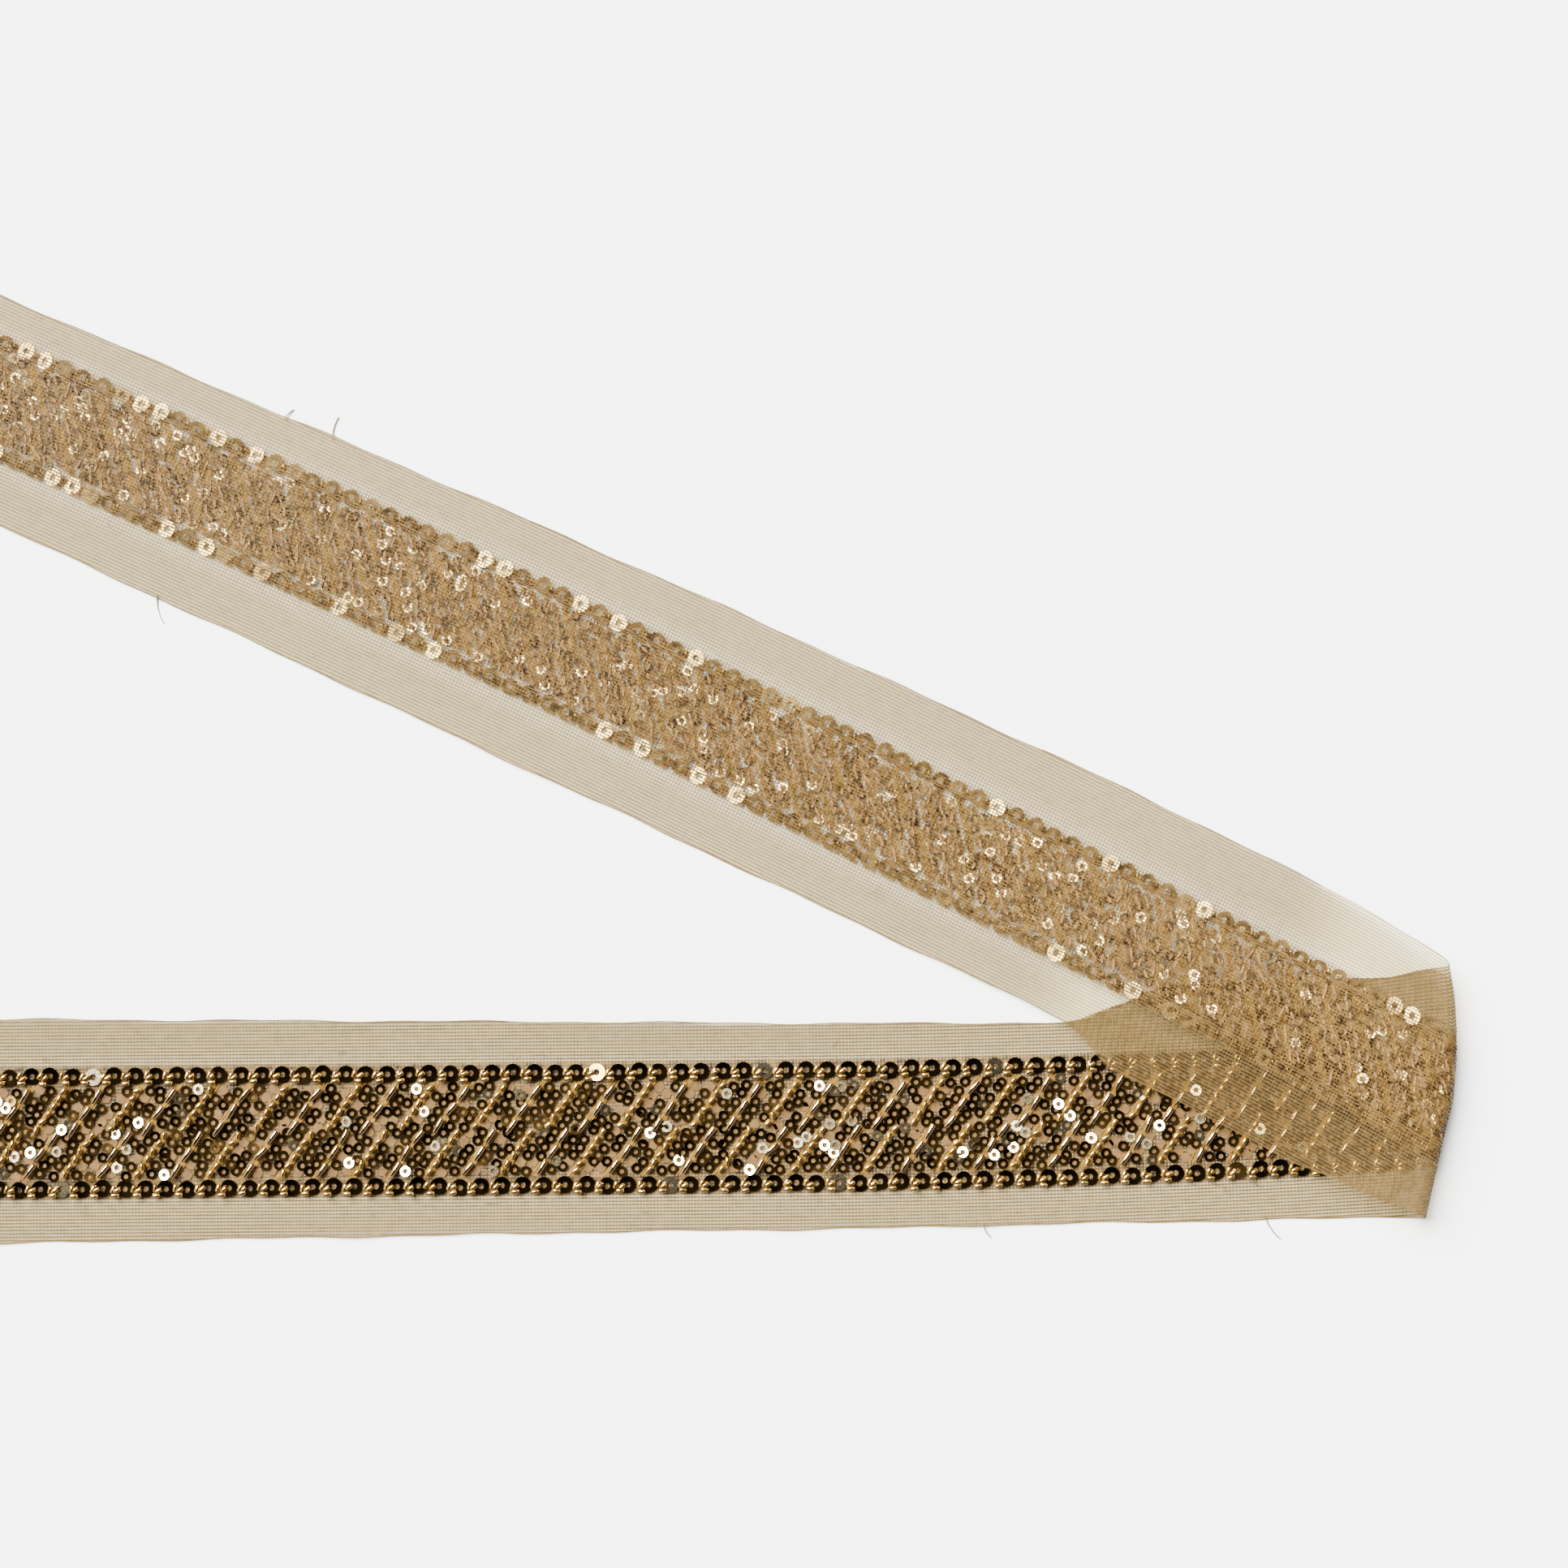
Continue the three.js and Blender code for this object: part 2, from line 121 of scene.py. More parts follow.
def lay(s, t, d):
    """Where a place of the ribbon lies: opened out flat by its heading, then kept as it is before the
    fold, carried round a half circle in it, and mirrored past it at the height of the upper leg. What
    would reach into the table is pressed flat on it."""
    s, t, d = np.broadcast_arrays(np.asarray(s, float), t, d)
    angle = np.radians(column(HEADING, "s", "degrees", s))
    x = np.interp(s, centre_s, centre_x) - t * np.sin(angle)
    y = np.interp(s, centre_s, centre_y) + t * np.cos(angle)
    normal = np.array([np.sin(FOLD_ANGLE), -np.cos(FOLD_ANGLE)])
    line = np.array([np.cos(FOLD_ANGLE), np.sin(FOLD_ANGLE)])
    across = x * normal[0] + y * normal[1]
    along = x * line[0] + y * line[1]
    edge = BAND_EDGE * column(WIDTH, "s", "band", s)
    rim = np.where(t > 0, column(WIDTH, "s", "north", s), column(WIDTH, "s", "south", s))
    margin = np.clip((np.abs(t) - edge) / (rim - edge), 0, 1.2)
    d = d + SETTLE * ramp(-HALF_TURN, SETTLED_BY, across)
    lift_north = eased(LOWER_RIM, "s", "north", s, RIM_EASE)
    lift_south = eased(LOWER_RIM, "s", "south", s, RIM_EASE)
    low_height = np.where(t > 0, lift_north, lift_south) * margin**2 + d
    straight = across / np.sin(FOLD_ANGLE - np.radians(FOLD_HEADING))
    past = straight + (s - straight) * ramp(10, SETTLED_BY, across)
    reach = np.clip((past - LOOP_PAST) / 2, 0, 10)
    mid = eased(UPPER, "past", "mid", past, reach)
    south = eased(UPPER, "past", "south", past, reach)
    band = mid - (south - mid) * np.clip(t / edge, -1, 1)
    rim_north = eased(UPPER, "past", "rim_north", past, reach)
    rim_south = eased(UPPER, "past", "rim_south", past, reach)
    high_height = band + (np.where(t > 0, rim_north, rim_south) - band) * margin**1.4 - d
    swing = np.clip((across + HALF_TURN) / LOOP_RADIUS, 0, np.pi)
    bend = LOOP_RADIUS - d
    before, beyond = across < -HALF_TURN, across > HALF_TURN
    place = np.select([before, beyond], [across, -across], bend * np.sin(swing) - HALF_TURN)
    height = np.select([before, beyond], [low_height, high_height], LOOP_RADIUS - bend * np.cos(swing))
    place = place - column(PULL, "t", "inward", t) * np.exp(-((across / PULL_REACH) ** 2))
    return 0.001 * np.stack(
        [
            place * normal[0] + along * line[0] + FOLD_PLACE[0],
            place * normal[1] + along * line[1] + FOLD_PLACE[1],
            np.maximum(height, TABLE_CLEARANCE),
        ],
        axis=-1,
    )


def in_band(s, t):
    """t drawn together by as much as the band lies narrower on the upper leg, margins moving with it."""
    band = column(WIDTH, "s", "band", s)
    return np.clip(t, -BAND_EDGE, BAND_EDGE) * band + t - np.clip(t, -BAND_EDGE, BAND_EDGE)


# Net ribbon: sheer net of soft ribs along its length on the wrong side, woven with broad flat threads
# across them on the beaded side, both partly see-through. Its two edges are cut raw and ripple a little.
# Under the beading it is painted darker and browner: partly its golden thread, partly painted shade of the
# beads and painted glow of the gold sequins behind it.
RIB_PITCH, RIB_WIDTH, RIB_THICK, RIB_DEPTH = 1.0, 0.38, 0.20, 0.22
CROSS_PITCH, CROSS_WIDTH, CROSS_THICK, CROSS_DEPTH = 1.0, 0.92, 0.10, 0.34
RIB_PROFILE = ((-0.5, 0), (-0.24, 0.5), (0.24, 0.5), (0.5, 0), (0.24, -0.5), (-0.24, -0.5))
FLAT_PROFILE = ((-0.5, -0.5), (-0.5, 0.5), (0.5, 0.5), (0.5, -0.5))
FOLD_LEAN, LEAN_FULL, LEAN_REACH = 0.2924, 13.1, 60
RIM_RIBS_FROM = 27
BEADED_HALF, FACE_UP_END = 17.6, 5


def add_mesh(name, points, faces, values=None, smooth=False):
    """A mesh object of the points and faces, with a number for each face under each name in values.
    smooth says which faces are shaded round."""
    mesh = bpy.data.meshes.new(name)
    faces = np.asarray(faces)
    corners = faces.shape[1]
    mesh.vertices.add(len(points))
    mesh.vertices.foreach_set("co", np.asarray(points, np.float32).ravel())
    mesh.loops.add(faces.size)
    mesh.loops.foreach_set("vertex_index", faces.astype(np.int32).ravel())
    mesh.polygons.add(len(faces))
    mesh.polygons.foreach_set("loop_start", np.arange(0, faces.size, corners, dtype=np.int32))
    mesh.polygons.foreach_set("loop_total", np.full(len(faces), corners, np.int32))
    mesh.polygons.foreach_set("use_smooth", np.broadcast_to(smooth, len(faces)))
    for key, numbers in (values or {}).items():
        attribute = mesh.attributes.new(key, "FLOAT", "FACE")
        attribute.data.foreach_set("value", np.asarray(numbers, np.float32))
    mesh.update(calc_edges=True)
    mesh.validate()
    piece = bpy.data.objects.new(name, mesh)
    bpy.context.scene.collection.objects.link(piece)
    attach(piece, "root")
    return piece


class Value:
    """A socket of one material's node tree. Sums, differences and products of these add Math nodes."""

    def __init__(self, tree, socket):
        self.tree = tree
        self.socket = socket

    def node(self, kind, settings=None, **inputs):
        """A node of that type: its settings first, then its sockets by name or number, and its output."""
        made = self.tree.nodes.new(kind)
        for key, value in (settings or {}).items():
            setattr(made, key, value)
        for key, value in inputs.items():
            numbered = key[0] == "n" and key[1:].isdigit()
            socket = made.inputs[int(key[1:]) if numbered else key.replace("_", " ")]
            if isinstance(value, Value):
                self.tree.links.new(value.socket, socket)
            else:
                socket.default_value = value
        return Value(self.tree, next(o for o in made.outputs if o.enabled))

    def maths(self, operation, first, second):
        """A Math node of that operation on two values or numbers."""
        return self.node("ShaderNodeMath", {"operation": operation}, n0=first, n1=second)

    def __add__(self, other):
        return self.maths("ADD", self, other)

    def __radd__(self, other):
        return self.maths("ADD", other, self)

    def __sub__(self, other):
        return self.maths("SUBTRACT", self, other)

    def __rsub__(self, other):
        return self.maths("SUBTRACT", other, self)

    def __mul__(self, other):
        return self.maths("MULTIPLY", self, other)

    def __rmul__(self, other):
        return self.maths("MULTIPLY", other, self)

    def above(self, limit):
        """1 where this is over the limit, 0 elsewhere."""
        return self.maths("GREATER_THAN", self, limit)

    def mix(self, first, second):
        """The first colour where this is 0, the second where it is 1."""
        return self.node("ShaderNodeMix", {"data_type": "RGBA"}, n0=self, n6=first, n7=second)

    def number(self, name):
        """The piece's own number of that name."""
        return self.node_output("ShaderNodeAttribute", {"attribute_name": name}, "Fac")

    def node_output(self, kind, settings, output):
        """The output of that name of a node without linked sockets."""
        made = self.tree.nodes.new(kind)
        for key, value in settings.items():
            setattr(made, key, value)
        return Value(self.tree, made.outputs[output])

    def noise(self, scale, detail=2.0):
        """A soft noise on object coordinates."""
        place = self.node_output("ShaderNodeTexCoord", {}, "Object")
        return self.node("ShaderNodeTexNoise", None, Vector=place, Scale=scale, Detail=detail)


def finish(name, **sockets):
    """A new material with its Principled shader's constant sockets set, and the wrapped shader."""
    material = bpy.data.materials.new(name)
    material.use_nodes = True
    shader = material.node_tree.nodes["Principled BSDF"]
    for key, value in sockets.items():
        shader.inputs[key.replace("_", " ")].default_value = value
    return material, shader, Value(material.node_tree, None)


def feed(shader, **sockets):
    """Link values into the shader's sockets."""
    for key, value in sockets.items():
        value.tree.links.new(value.socket, shader.inputs[key.replace("_", " ")])


def rim_at(s, side):
    """The raw edge's distance from the centre line, with two slow ripples, signed by its side."""
    ripple = 0.22 * np.sin(s / 9.7) + 0.16 * np.sin(s / 4.1 + 2)
    return side * column(WIDTH, "s", "north" if side > 0 else "south", s) + ripple


def lean_at(s):
    """How far columns lean with the fold line: fully at the fold, not at all at LEAN_REACH from it."""
    return FOLD_LEAN * (1 - ramp(LEAN_FULL, LEAN_REACH, np.abs(s)))


def tape(s, t, depth, wide_s, wide_t, thick, profile, keep):
    """Threads with that profile, one for each row of places: corners stand off the path by a share of its
    width along s or t, and of its thickness in depth. keep says which steps of a row are thread, and each
    run of them is closed at both ends. The last result is the row and step that each face belongs to."""
    rows, steps = s.shape
    corners = len(profile)
    points = np.stack([lay(s + a * wide_s, t + a * wide_t, depth + b * thick) for a, b in profile], axis=2)
    index = np.arange(rows * steps * corners).reshape(rows, steps, corners)
    before = np.pad(keep, ((0, 0), (1, 0)))[:, :-1]
    after = np.pad(keep, ((0, 0), (0, 1)))[:, 1:]
    row, step = np.nonzero(keep)
    quads, owners = [], []
    for k in range(corners):
        near, far = index[:, :-1], index[:, 1:]
        after_k = (k + 1) % corners
        quads.append(np.stack([near[..., k], far[..., k], far[..., after_k], near[..., after_k]], -1)[keep])
        owners.append(np.stack([row, step], 1))
    for first in range(1, corners - 1, 2):
        order = [0, first, first + 1, (first + 2) % corners]
        starts, ends = keep & ~before, keep & ~after
        quads.append(index[:, :-1][starts][:, order])
        quads.append(index[:, 1:][ends][:, order[::-1]])
        owners.append(np.argwhere(starts))
        owners.append(np.argwhere(ends))
    return points.reshape(-1, 3), np.concatenate(quads), np.concatenate(owners)


def stations(marks, gaps):
    """Places along the ribbon: between each two marks, even steps no longer than that gap."""
    parts = [np.linspace(a, b, int(np.ceil((b - a) / gap)) + 1)[:-1]
             for a, b, gap in zip(marks[:-1], marks[1:], gaps)]
    return np.concatenate([*parts, [marks[-1]]])


def stretched(s, side):
    """1 where a margin of the upper leg (side -1 south, 0 band, 1 north) is pulled thin across the lower
    leg, 0 on the rest."""
    last = np.where(side < 0, 105, 45)
    return np.abs(side) * ramp(0, 14, s) * (1 - ramp(last, last + 30, s))


marks = [LOWER_END, -120, -14, 14, 60, 165, UPPER_END]
rib_t = RIB_PITCH * (np.arange(-40, 40) + 0.5)
net_points, net_faces, net_band, net_lower, net_thin = [], [], [], [], []
for lines, gaps in (
    (rib_t[np.abs(rib_t) < RIM_RIBS_FROM], [20, 11, 1.4, 5, 10, 18]),
    (rib_t[np.abs(rib_t) >= RIM_RIBS_FROM], [5, 5, 1.4, 4, 5, 5]),
):
    rib_s = stations(marks, gaps)
    place = np.broadcast_to(rib_s, (len(lines), len(rib_s)))
    across = lines[:, None] + 0 * place
    place = np.clip(place + lean_at(place) * across, LOWER_END, UPPER_END)
    across = in_band(place, across)
    inner, outer = rim_at(place, -1), rim_at(place, 1)
    inside = (across < outer + RIB_PITCH) & (across > inner - RIB_PITCH)
    across = np.clip(across, inner + RIB_WIDTH / 2, outer - RIB_WIDTH / 2)
    points, faces, owner = tape(place, across, RIB_DEPTH, 0.0, RIB_WIDTH, RIB_THICK, RIB_PROFILE,
                                inside[:, :-1] & inside[:, 1:])
    net_faces.append(faces + sum(map(len, net_points)))
    net_points.append(points)
    line = lines[owner[:, 0]]
    net_band.append(np.abs(line) < BEADED_HALF)
    net_lower.append(rib_s[owner[:, 1]] < FACE_UP_END)
    side = np.sign(line) * (np.abs(line) > BEADED_HALF)
    net_thin.append(stretched(rib_s[owner[:, 1]], side))

cross_s = np.arange(LOWER_END, UPPER_END, CROSS_PITCH)[:, None]
share = np.array([0, 0.33, 0.66])
south_rim, north_rim = rim_at(cross_s, -1), rim_at(cross_s, 1)
middle = in_band(cross_s, np.array([-BAND_EDGE, -9.0, 0.8, 13.75, BAND_EDGE]))
cross_t = np.concatenate(
    [
        south_rim + (middle[:, :1] - south_rim) * share,
        middle,
        north_rim + (middle[:, -1:] - north_rim) * share[::-1],
    ],
    axis=1,
)
in_beading = np.array([0, 0, 0, 0.5, 1, 1, 1, 0.5, 0, 0, 0])
drawn_in = in_beading * (0.12 + 0.32 * ramp(-10, 30, cross_s))
points, faces, owner = tape(
    np.broadcast_to(cross_s, cross_t.shape), cross_t, CROSS_DEPTH, drawn_in - CROSS_WIDTH, 0.0, CROSS_THICK,
    FLAT_PROFILE, np.ones((len(cross_s), cross_t.shape[1] - 1), bool),
)
net_faces.append(faces + sum(map(len, net_points)))
net_points.append(points)
net_band.append((owner[:, 1] > 2) & (owner[:, 1] < 7))
net_lower.append(cross_s[owner[:, 0], 0] < FACE_UP_END)
side = np.array([-1, -1, -1, 0, 0, 0, 0, 1, 1, 1])[owner[:, 1]]
net_thin.append(stretched(cross_s[owner[:, 0], 0], side))
net = add_mesh(
    "net_ribbon_weave", np.concatenate(net_points), np.concatenate(net_faces),
    {"band": np.concatenate(net_band), "lower": np.concatenate(net_lower),
     "thin": np.concatenate(net_thin),
     "rib": np.repeat([1, 1, 0], [len(f) for f in net_faces])},
)

net_finish, net_shader, v = finish("net_threads", Specular_IOR_Level=0.15)
fibre, patch = v.noise(900.0), v.noise(400.0)
rib, band, lower = v.number("rib"), v.number("band"), v.number("lower")
# Random mottle of the threads. Under the beading the net is painted darker and browner, with stronger
# patches: partly its golden thread, partly painted shade of the beads and painted glow of the gold sequins
# behind it.
mottle = (fibre * 0.4 + patch * 0.6) * (band * 1.6 + 2.6) + rib * 0.16 - 0.84 - band * 0.8
margin_colour = mottle.mix((0.069, 0.042, 0.015, 1), (0.147, 0.096, 0.040, 1))
band_colour_and_painted_shade = mottle.mix((0.017, 0.008, 0.002, 1), (0.152, 0.088, 0.024, 1))
feed(
    net_shader,
    Base_Color=band.mix(margin_colour, band_colour_and_painted_shade),
    Roughness=fibre * 0.2 + 0.5,
)
cover = band * (lower * 0.14 + 0.10) + lower * 0.08 + rib * 0.2 + 0.30 - v.number("thin") * 0.15
see_through = v.node("ShaderNodeBsdfTransparent", None, Color=(1.0, 0.975, 0.86, 1))
threads_shader = Value(net_finish.node_tree, net_shader.outputs["BSDF"])
sheer = v.node("ShaderNodeMixShader", None, n0=cover, n1=see_through, n2=threads_shader)
net_surface = net_finish.node_tree.nodes["Material Output"].inputs["Surface"]
net_finish.node_tree.links.new(sheer.socket, net_surface)
net.data.materials.append(net_finish)
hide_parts("net_ribbon")


# Sequins: thin metallic discs with a punched hole. Ring sequins lie in slanting chains over the field, each
# lapping over the next a little, and larger ones stand apart in the two border rows. All tip by a few
# degrees, and the few that tip further catch the light; their film is painted bright as a painted
# highlight.
# Each film is also painted lighter on one side and darker on the other, as painted light and shade.
RING_RADIUS, RING_HOLE, RING_THICK = 1.60, 0.73, 0.10
LARGE_RADIUS, LARGE_HOLE, LARGE_THICK = 2.5, 0.92, 0.12
SEQUIN_DEPTH = 0.62
REPEAT, SLANT, LINE_STEP = 21.4, np.radians(54.0), 4.0
LINE_STARTS = REPEAT * np.arange(np.floor(LOWER_END / REPEAT) - 1, np.ceil(UPPER_END / REPEAT) + 2)
CHAIN_PITCH, CHAIN_OFFSETS, CHAIN_EDGE = 2.75, (3.3, 7.2, 14.2, 18.1), 13.2
LEFT_OUT = 0.2
WRONG_SIDE_START = -15
CAUGHT_TIP = np.radians(11)
chance = np.random.default_rng(11)


def disc(radius, hole, thick, corners):
    """A flat ring as corners of a unit piece (u, v, w): outer and inner circles, back and front."""
    angle = 2 * np.pi * np.arange(corners) / corners
    circle = np.stack([np.cos(angle), np.sin(angle)], 1)
    points = np.concatenate(
        [np.column_stack([circle * r, np.full(corners, w)])
         for r, w in ((radius, 0), (hole, 0), (hole, thick), (radius, thick))]
    )
    i = np.arange(corners)
    j = (i + 1) % corners
    quads = [np.stack([i + a * corners, i + b * corners, j + b * corners, j + a * corners], 1)
             for a, b in ((0, 1), (1, 2), (2, 3), (3, 0))]
    return points, np.concatenate(quads), np.repeat([1, 0, 0, 0], corners)


def scatter(template, faces, s, t, d, turn, tip_u, tip_v):
    """Copies of a template: turned in the plane of the ribbon, tipped about its two axes, set at each
    place of the ribbon and bent with it."""
    u, v, w = template.T
    side = np.cos(turn)[:, None] * u - np.sin(turn)[:, None] * v
    over = np.sin(turn)[:, None] * u + np.cos(turn)[:, None] * v
    height = w + np.tan(tip_u)[:, None] * side + np.tan(tip_v)[:, None] * over
    points = lay(s[:, None] + side, t[:, None] + over, d[:, None] + height).reshape(-1, 3)
    index = faces[None] + (np.arange(len(s)) * len(template))[:, None, None]
    return points, index.reshape(-1, faces.shape[1])


def slant_lines(offset, spots):
    """Places on slanting lines, one line to each repeat and half of the band: offset along s from the
    repeat's start, spots across the band. The lower half stands a step back."""
    t = np.broadcast_to(spots, (len(LINE_STARTS), len(spots)))
    s = LINE_STARTS[:, None] + offset + t / np.tan(SLANT) - np.where(t < 0, LINE_STEP, 0)
    s, t = s.ravel(), t.ravel()
    inside = (s > LOWER_END + 2) & (s < UPPER_END - 2)
    return s[inside], t[inside]


def tips(s, share):
    """How far each disc tips about its two axes, in radians: a few degrees, and for that share of them 12
    to 20 degrees more, up on the side that catches the light."""
    over = s > WRONG_SIDE_START
    spread = np.radians(chance.normal(0, 3.0, (2, len(s))))
    lean = np.radians(chance.uniform(12, 20, len(s))) * (chance.random(len(s)) < share)
    turn = np.radians(chance.normal(0, 25, len(s)) + np.where(over, 21, -47))
    return spread + lean * np.stack([np.cos(turn), np.sin(turn)])


def painted_light_side(turn, corners):
    """For each face of each disc, a painted light from 0 to 1 by how far round it is from the side that
    looks
    towards the light: the film is painted darker sharply away from it, as painted shade. turn is the disc's
    own turn."""
    round_it = np.tile(2 * np.pi * (np.arange(corners) + 0.5) / corners, 4)
    return ((0.5 + 0.5 * np.cos(round_it[None] + 0.5 * turn[:, None] + 0.9)) ** 2).ravel()


chain_spots = np.sin(SLANT) * CHAIN_PITCH * (np.arange(6) + 0.38)
chain_spots = np.concatenate([-chain_spots[::-1] - 0.1, chain_spots])
chains = [slant_lines(offset, chain_spots) for offset in CHAIN_OFFSETS]
ring_s, ring_t = np.concatenate([c[0] for c in chains]), np.concatenate([c[1] for c in chains])
count = len(ring_s)
ring_s = ring_s + chance.normal(0, 0.42, count)
ring_t = np.clip(ring_t + chance.normal(0, 0.38, count), -CHAIN_EDGE, CHAIN_EDGE)
missing = chance.random(count) < LEFT_OUT
tip_u, tip_v = tips(ring_s, np.where(ring_s > WRONG_SIDE_START, 0.24, 0.085))
ring_tone_and_painted_glint = chance.random(count)
# Painted highlight: sequins tipped far enough to catch the light get a high tone, which paints their film
# bright.
caught = np.hypot(tip_u, tip_v) > CAUGHT_TIP
ring_tone_and_painted_glint = np.where(caught, 0.95 + 0.05 * ring_tone_and_painted_glint, ring_tone_and_painted_glint)
ring_turn = chance.uniform(-1.4, 1.4, count)
ring_depth = SEQUIN_DEPTH + chance.uniform(0, 0.4, count) + 0.7 * RING_RADIUS * np.hypot(tip_u, tip_v)
ring, ring_faces, ring_back = disc(RING_RADIUS, RING_HOLE, RING_THICK, 12)

sequin_finish, sequin_shader, v = finish("sequin_film")
tone, back = v.number("tone"), v.number("back")
speckle = v.noise(2200.0, 3.0) * 3.0 - 1.0
# Painted light and shade: the film's colour rises with its random tone and with the painted lighter side of
# each disc.
tone_and_painted_light = tone * 0.5 + v.number("side") * 0.55
dark = tone_and_painted_light.mix((0.022, 0.012, 0.003, 1), (0.52, 0.31, 0.080, 1))
# Painted highlight: a pale silver film for the highest tones, which every sequin that catches the light is
# given.
painted_glint_silver = speckle.mix((0.26, 0.195, 0.085, 1), (1.0, 0.88, 0.55, 1))
front_colour = tone.above(0.94).mix(dark, painted_glint_silver)
# The back runs from dark to bright gold with tone; on sequins that catch the light that bright gold is a
# painted highlight.
back_colour = (tone * tone).mix((0.04, 0.018, 0.002, 1), (0.95, 0.72, 0.30, 1))
feed(
    sequin_shader,
    Base_Color=back.mix(front_colour, back_colour),
    Roughness=tone * 0.10 + 0.08,
    Metallic=1.0 - back * 0.25,
)

for leg, chosen in (("lower", (ring_s < 0) & ~missing), ("upper", (ring_s >= 0) & ~missing)):
    s, t = ring_s[chosen], in_band(ring_s[chosen], ring_t[chosen])
    points, faces = scatter(
        ring, ring_faces, s, t, ring_depth[chosen], ring_turn[chosen],
        tip_u[chosen], tip_v[chosen],
    )
    sequins = add_mesh(
        f"ring_sequins_{leg}", points, faces,
        {"tone": np.repeat(ring_tone_and_painted_glint[chosen], len(ring_faces)), "back": np.tile(ring_back, chosen.sum()),
         "side": painted_light_side(ring_turn[chosen], 12)},
    )
    sequins.data.materials.append(sequin_finish)
    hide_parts("sequin_field")

LARGE_PITCH, LARGE_ROW, SOUTH_SHIFT = 6.15, 16.5, 2.6
large, large_faces, large_back = disc(LARGE_RADIUS, LARGE_HOLE, LARGE_THICK, 24)
row_s = np.arange(LOWER_END + 4, UPPER_END - 3, LARGE_PITCH)
for name, side in (("north", 1), ("south", -1)):
    count = len(row_s)
    s = row_s + (0.0 if side > 0 else SOUTH_SHIFT) + chance.normal(0, 0.18, count)
    s = np.clip(s, LOWER_END + 3, UPPER_END - 3)
    t = in_band(s, side * LARGE_ROW + chance.normal(0, 0.16, count))
    tip_u, tip_v = tips(s, np.where(s > WRONG_SIDE_START, 0.28, 0.03))
    depth = SEQUIN_DEPTH + 0.1 + 0.7 * LARGE_RADIUS * np.hypot(tip_u, tip_v)
    points, faces = scatter(large, large_faces, s, t, depth, 0 * s, tip_u, tip_v)
    # Painted highlight: border discs tipped far enough to catch the light get a high tone, which paints
    # their film bright.
    caught = np.hypot(tip_u, tip_v) > CAUGHT_TIP
    tone = chance.random(count)
    dull = np.where(s > 0, 0.3 + 0.5 * tone, 0.35 * tone)
    tone = np.where(caught, 0.92, np.where(tone > 0.93, tone, dull))
    # Painted light and shade: at half strength, each border disc painted lighter on one side, turned at
    # random.
    painted_lighter = 0.5 * painted_light_side(chance.normal(0, 1, count), 24)
    sequins = add_mesh(
        f"border_sequins_{name}", points, faces,
        {"tone": np.repeat(tone, len(large_faces)), "back": np.tile(large_back, count),
         "side": painted_lighter},
    )
    sequins.data.materials.append(sequin_finish)
    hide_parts(f"border_row_{name}")


# Bugle beads: cut glass tubes lined with bright metal, threaded in a row on the gold strands, three to each
# slanting line in each half of the band
BUGLE_LENGTH, BUGLE_RADIUS, BUGLE_BORE = 4.6, 0.74, 0.33
BUGLE_SPOTS = np.array([-11.4, -6.7, -1.9, 0.9, 5.8, 10.7])
BEAD_DEPTH = 0.72


def tube(length, radius, bore, corners, bevel):
    """A bead about its axis u: a wall of that radius with bevelled ends, and a bore through it."""
    angle = 2 * np.pi * np.arange(corners) / corners
    half = length / 2
    profile = [
        (-half, bore), (-half, radius - bevel), (bevel - half, radius),
        (half - bevel, radius), (half, radius - bevel), (half, bore),
    ]
    points = np.concatenate(
        [np.column_stack([np.full(corners, u), r * np.cos(angle), radius + r * np.sin(angle)])
         for u, r in profile]
    )
    i = np.arange(corners)
    j = (i + 1) % corners
    rings = len(profile)
    quads = [np.stack([i + a * corners, j + a * corners, j + b * corners, i + b * corners], 1)
             for a, b in ((k, (k + 1) % rings) for k in range(rings))]
    return points, np.concatenate(quads)


bugle, bugle_faces = tube(BUGLE_LENGTH, BUGLE_RADIUS, BUGLE_BORE, 10, 0.12)
bugle_s, bugle_t = slant_lines(0.0, BUGLE_SPOTS)
count = len(bugle_s)
bugle_s = bugle_s + chance.normal(0, 0.2, count)
points, faces = scatter(
    bugle, bugle_faces, bugle_s, in_band(bugle_s, bugle_t + chance.normal(0, 0.15, count)),
    BEAD_DEPTH + chance.uniform(0, 0.2, count), SLANT + chance.normal(0, 0.06, count),
    chance.normal(0, 0.03, count), chance.normal(0, 0.03, count),
)
# Painted reflection: the faces round each tube are painted dark or bright in lengthwise streaks, for the
# dark and bright sky that the lined glass would reflect.
painted_streaks = np.tile([1, 1, 0.0, 0.35, 0.8, 1, 1, 0.0, 0.35, 0.8], 6)
bugles = add_mesh(
    "bugle_beads", points, faces,
    {"tone": np.repeat(chance.random(count), len(bugle_faces)), "painted_streak": np.tile(painted_streaks, count)},
    smooth=np.tile(np.repeat([0, 0, 1, 0, 0, 0], 10) > 0, count),
)
bugle_finish, bugle_shader, v = finish(
    "lined_glass", Metallic=0.95, Roughness=0.07, Coat_Weight=0.3, Coat_Roughness=0.04
)
tone = v.number("tone")
painted_streaked = v.number("painted_streak") * (tone * 0.4 + 0.6)
feed(bugle_shader, Base_Color=painted_streaked.mix((0.020, 0.010, 0.003, 1), (0.52, 0.36, 0.17, 1)))
bugles.data.materials.append(bugle_finish)
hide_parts("sequin_field")


